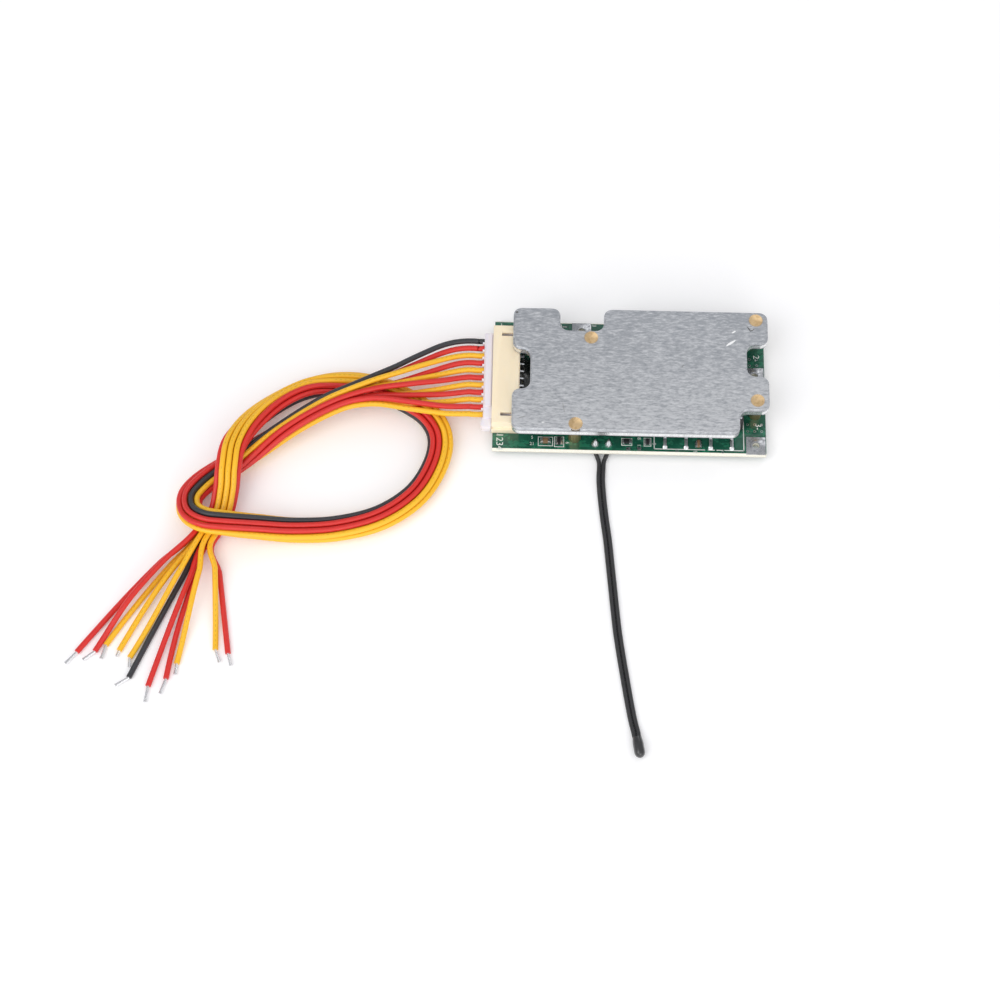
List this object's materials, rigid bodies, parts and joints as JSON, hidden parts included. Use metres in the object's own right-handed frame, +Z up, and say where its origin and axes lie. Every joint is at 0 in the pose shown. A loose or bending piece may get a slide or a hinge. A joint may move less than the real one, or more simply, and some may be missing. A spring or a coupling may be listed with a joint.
{
  "type": "battery management board",
  "caption": "Battery management board under a notched aluminium heatsink plate, with its balance lead plugged in and a temperature probe on a twin lead.",
  "frame": {"origin": "on the surface that the part stands on, under the middle of the board and its plate", "axes": "+X along the board's long side towards its power terminals, +Y towards its back edge, +Z up through the heatsink plate"},
  "size_m": [0.1636, 0.1119, 0.0107],
  "materials": {
    "solder_mask": "glossy green solder mask over glass epoxy",
    "plate_aluminium": "rolled aluminium, fine horizontal grain",
    "stud_brass": "turned brass, knurled head",
    "screw_steel": "zinc plated steel",
    "pad_silicone": "soft matt silicone pad",
    "moulded_black": "matt moulded epoxy",
    "chip_black": "glazed chip resistor body",
    "chip_brown": "bare chip ceramic",
    "header_cream": "cream moulded nylon",
    "pin_tin": "tin plated",
    "solder": "bright solder",
    "plug_white": "white moulded nylon",
    "lead_black": "black insulation, satin",
    "bead_black": "dipped epoxy",
    "wire_black": "black insulation, satin",
    "wire_red": "red insulation, satin",
    "wire_yellow": "yellow insulation, satin",
    "strand_tin": "tinned copper strands"
  },
  "bodies": {
    "root": {"circuit_board": "solder_mask", "heatsink_plate": "plate_aluminium", "stud_back_left": "stud_brass", "stud_back_right": "stud_brass", "stud_front_right": "stud_brass", "stud_front_left": "stud_brass", "stud_screws": "screw_steel", "thermal_pad": "pad_silicone", "transistor_front_left": "moulded_black", "transistor_front_right": "moulded_black", "transistor_back_left": "moulded_black", "transistor_back_right": "moulded_black", "transistor_solder": "solder", "controller_chip": "moulded_black", "balance_resistors": "chip_black", "balance_switches": "moulded_black", "shunt_resistors": "chip_black", "small_capacitors": "chip_brown", "small_resistors": "chip_black", "header_housing": "header_cream", "header_pins": "pin_tin", "header_solder": "solder", "plug_housing": "plug_white", "plug_contacts": "pin_tin", "b_terminal": "solder", "p_terminal": "solder", "c_terminal": "solder", "probe_solder": "solder", "probe_lead_left": "lead_black", "probe_lead_right": "lead_black", "probe_bead": "bead_black", "wire_01_black": "wire_black", "wire_02_red": "wire_red", "wire_03_yellow": "wire_yellow", "wire_04_red": "wire_red", "wire_05_yellow": "wire_yellow", "wire_06_red": "wire_red", "wire_07_yellow": "wire_yellow", "wire_08_red": "wire_red", "wire_09_yellow": "wire_yellow", "wire_10_red": "wire_red", "wire_11_yellow": "wire_yellow", "strands_01": "strand_tin", "strands_02": "strand_tin", "strands_03": "strand_tin", "strands_04": "strand_tin", "strands_05": "strand_tin", "strands_06": "strand_tin", "strands_07": "strand_tin", "strands_08": "strand_tin", "strands_09": "strand_tin", "strands_10": "strand_tin", "strands_11": "strand_tin"}
  },
  "joints": []
}
